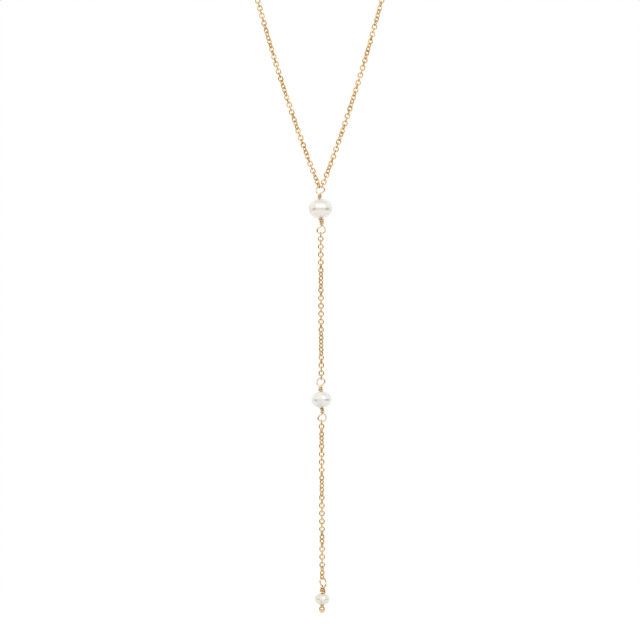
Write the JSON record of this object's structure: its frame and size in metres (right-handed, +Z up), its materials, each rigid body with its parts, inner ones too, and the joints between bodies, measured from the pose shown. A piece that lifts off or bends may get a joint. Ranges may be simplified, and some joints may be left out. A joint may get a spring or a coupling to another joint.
{
  "type": "necklace",
  "caption": "Fine yellow gold cable chain necklace that meets in a V above a long hanging chain drop set with white pearls on wrapped wire and a small ball at its end.",
  "frame": {"origin": "where the loop rests on the neck, at the middle of the clasp, opposite the drop", "axes": "+Z up, the drop hangs down -Z in front of the neck on the -Y side, and X runs across the neck"},
  "size_m": [0.0998, 0.1197, 0.2641],
  "materials": {
    "chain_gold": "polished yellow gold",
    "wire_gold": "polished pale yellow gold wire",
    "pearl": "white freshwater pearl with a soft lustre"
  },
  "bodies": {
    "neck_chain": {"left_front_chain": "chain_gold", "right_front_chain": "chain_gold", "left_back_chain": "chain_gold", "right_back_chain": "chain_gold", "clasp": "chain_gold"},
    "drop": {"wire_link_1": "wire_gold", "pearl_1": "pearl", "drop_chain_1": "chain_gold", "wire_link_2": "wire_gold", "pearl_2": "pearl", "drop_chain_2": "chain_gold", "head_pin": "wire_gold", "pearl_3": "pearl"}
  },
  "joints": [
    {"name": "drop_swing", "type": "hinge", "parent": "neck_chain", "child": "drop", "pos_m": [0, -0.116, -0.15], "axis": [1, 0, 0], "range_deg": [-60, 60]}
  ]
}
